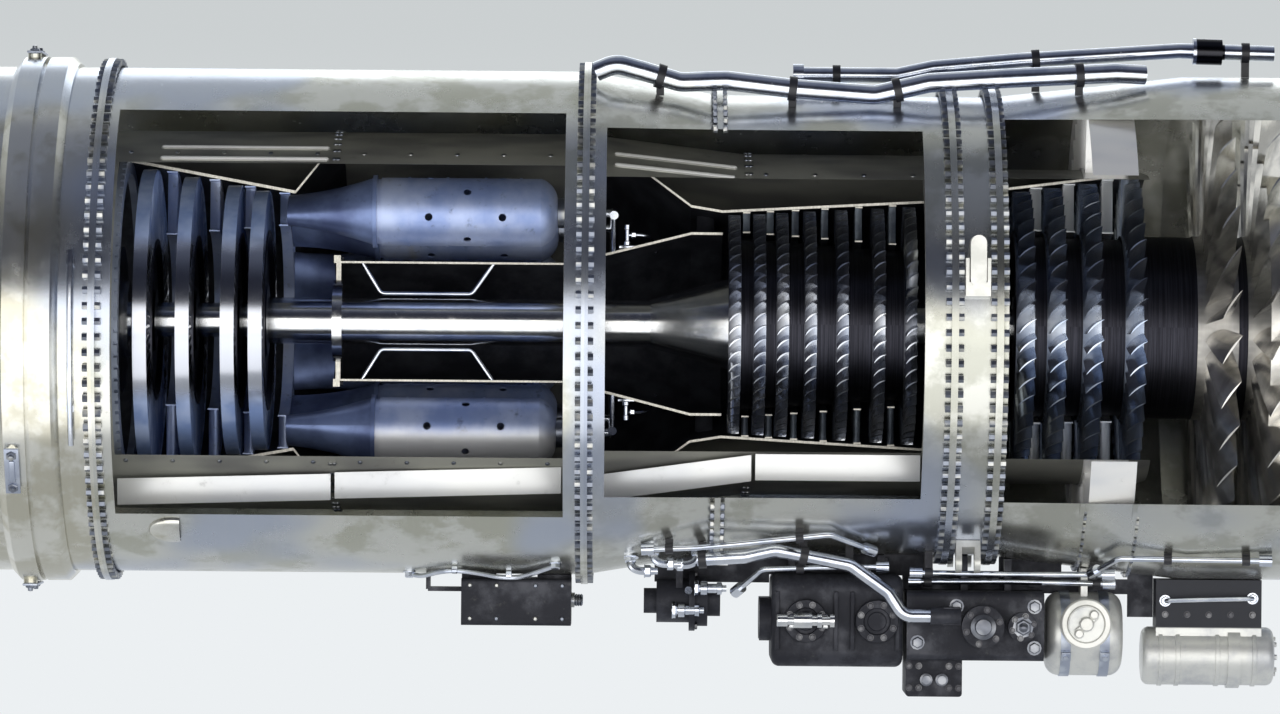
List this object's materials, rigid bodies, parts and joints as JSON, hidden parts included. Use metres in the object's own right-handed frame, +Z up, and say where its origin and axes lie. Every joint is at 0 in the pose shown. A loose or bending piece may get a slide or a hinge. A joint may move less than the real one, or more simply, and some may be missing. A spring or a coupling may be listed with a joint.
{
  "type": "cutaway turbofan engine",
  "caption": "Cutaway turbofan engine with windows in its ducts that show the fan, compressors, burner cans, turbine and both shafts.",
  "frame": {"origin": "centre of the inlet flange's front face, on the shaft axis", "axes": "+X forward along the shaft axis, out of the inlet; -Y towards the cut windows; +Z up, away from the accessories"},
  "size_m": [3.06, 1.082, 1.3618],
  "materials": {
    "duct_skin": "satin sheet with handling marks",
    "core_skin": "bright polished sheet",
    "case_metal": "machined, dulled",
    "blade_steel": "fine ground",
    "turbine_blue": "heat tinted blue",
    "burner_blue": "heat tinted blue sheet",
    "shaft_steel": "ground and polished",
    "bolt_steel": "plated",
    "pipe_steel": "drawn tube, bright",
    "clamp_black": "black, satin",
    "accessory_dark": "dark cast, matt",
    "accessory_light": "cast and machined"
  },
  "bodies": {
    "casing": {"inlet_case": "duct_skin", "nose_dome": "duct_skin", "fan_case": "duct_skin", "fan_exit_vanes": "core_skin", "fan_inner_duct": "core_skin", "low_compressor_case": "case_metal", "low_stator_vanes": "blade_steel", "intermediate_case": "duct_skin", "port_cover": "core_skin", "mount_clevises": "core_skin", "outer_duct_front": "duct_skin", "outer_duct_rear": "duct_skin", "inner_duct_front": "core_skin", "inner_duct_rear": "core_skin", "high_compressor_case": "case_metal", "high_stator_vanes": "blade_steel", "diffuser_case": "case_metal", "fuel_manifold": "pipe_steel", "fuel_nozzles": "bolt_steel", "combustion_cans": "burner_blue", "cross_fire_tubes": "burner_blue", "transition_ducts": "burner_blue", "combustor_inner_case": "case_metal", "bearing_oil_tubes": "pipe_steel", "turbine_case": "case_metal", "turbine_nozzle_vanes": "turbine_blue", "turbine_rear_ring": "case_metal", "turbine_exhaust_case": "case_metal", "tail_cone": "case_metal", "exhaust_duct": "duct_skin", "rear_mount_ring": "duct_skin", "probe_tube": "pipe_steel", "rear_flange_bolts": "bolt_steel", "centre_flange_bolts": "bolt_steel", "front_flange_bolts": "bolt_steel", "main_bearings": "shaft_steel", "accessory_gearbox": "accessory_dark", "fuel_control": "accessory_dark", "fuel_pump": "accessory_dark", "ignition_box": "accessory_dark", "oil_tank": "accessory_light", "starter": "accessory_light", "bleed_pipe_lower": "pipe_steel", "bleed_pipe_upper": "pipe_steel", "pipe_clamps": "clamp_black", "oil_return_pipe": "pipe_steel", "fuel_lines": "pipe_steel"},
    "low_spool": {"low_shaft": "shaft_steel", "fan_stage_1": "blade_steel", "fan_stage_2": "blade_steel", "low_compressor_rotor": "blade_steel", "low_turbine_stage_1": "turbine_blue", "low_turbine_stage_2": "turbine_blue", "low_turbine_stage_3": "turbine_blue"},
    "high_spool": {"high_shaft": "shaft_steel", "high_compressor_rotor": "blade_steel", "high_turbine_stage": "turbine_blue"}
  },
  "joints": [
    {"name": "low_spool_turn", "type": "hinge", "parent": "casing", "child": "low_spool", "pos_m": [0, 0, 0], "axis": [1, 0, 0], "continuous": true},
    {"name": "high_spool_turn", "type": "hinge", "parent": "casing", "child": "high_spool", "pos_m": [0, 0, 0], "axis": [1, 0, 0], "continuous": true}
  ]
}
